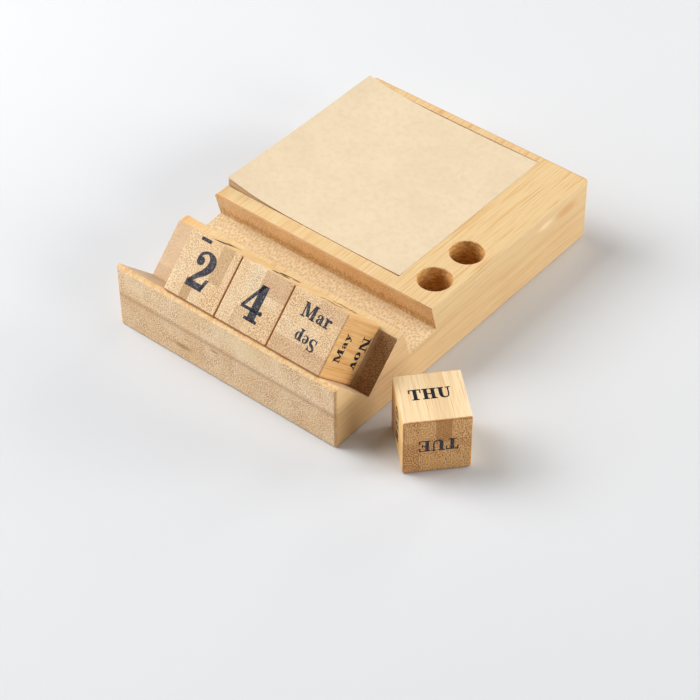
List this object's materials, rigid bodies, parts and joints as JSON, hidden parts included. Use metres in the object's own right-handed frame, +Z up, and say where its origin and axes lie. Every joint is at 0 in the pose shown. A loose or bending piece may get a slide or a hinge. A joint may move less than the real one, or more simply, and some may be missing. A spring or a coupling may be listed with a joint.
{
  "type": "desk calendar",
  "caption": "Bamboo desk organiser with a V groove of loose calendar cubes, a phone slot, a memo recess open at one side holding a kraft pad, and round pen holes.",
  "frame": {"origin": "middle of the block's underside, on the table top", "axes": "+Z up, +X to the right along the front, +Y from the calendar groove towards the memo recess"},
  "size_m": [0.1401, 0.1444, 0.044],
  "materials": {
    "bamboo": "sanded, clear satin",
    "cube_bamboo": "sanded",
    "backing_card": "matte",
    "kraft_paper": "matte",
    "ink": "matte print",
    "gum": "matte"
  },
  "bodies": {
    "block": {"lower_board": "bamboo", "front_lip": "bamboo", "ridge_rail": "bamboo", "deck_left": "bamboo", "deck_right": "bamboo"},
    "day_tens": {"day_tens_cube": "cube_bamboo"},
    "day_units": {"day_units_cube": "cube_bamboo"},
    "month": {"month_cube": "cube_bamboo"},
    "weekday": {"weekday_cube": "cube_bamboo"},
    "memo_pad": {"memo_card": "backing_card", "memo_stack": "kraft_paper", "memo_gum": "gum"},
    "note": {"top_note": "kraft_paper"}
  },
  "joints": [
    {"name": "day_tens_lift", "type": "slide", "parent": "block", "child": "day_tens", "axis": [0, 0, 1], "range_m": [0, 0.045]},
    {"name": "day_units_lift", "type": "slide", "parent": "block", "child": "day_units", "axis": [0, 0, 1], "range_m": [0, 0.045]},
    {"name": "month_lift", "type": "slide", "parent": "block", "child": "month", "axis": [0, 0, 1], "range_m": [0, 0.045]},
    {"name": "weekday_lift", "type": "slide", "parent": "block", "child": "weekday", "axis": [0, 0, 1], "range_m": [0, 0.05]},
    {"name": "memo_pad_slide", "type": "slide", "parent": "block", "child": "memo_pad", "axis": [-1, 0, 0], "range_m": [0, 0.083]},
    {"name": "note_peel", "type": "hinge", "parent": "memo_pad", "child": "note", "pos_m": [0.0294, 0.0273, 0.0264], "axis": [0, 1, 0], "range_deg": [0, 120]}
  ]
}
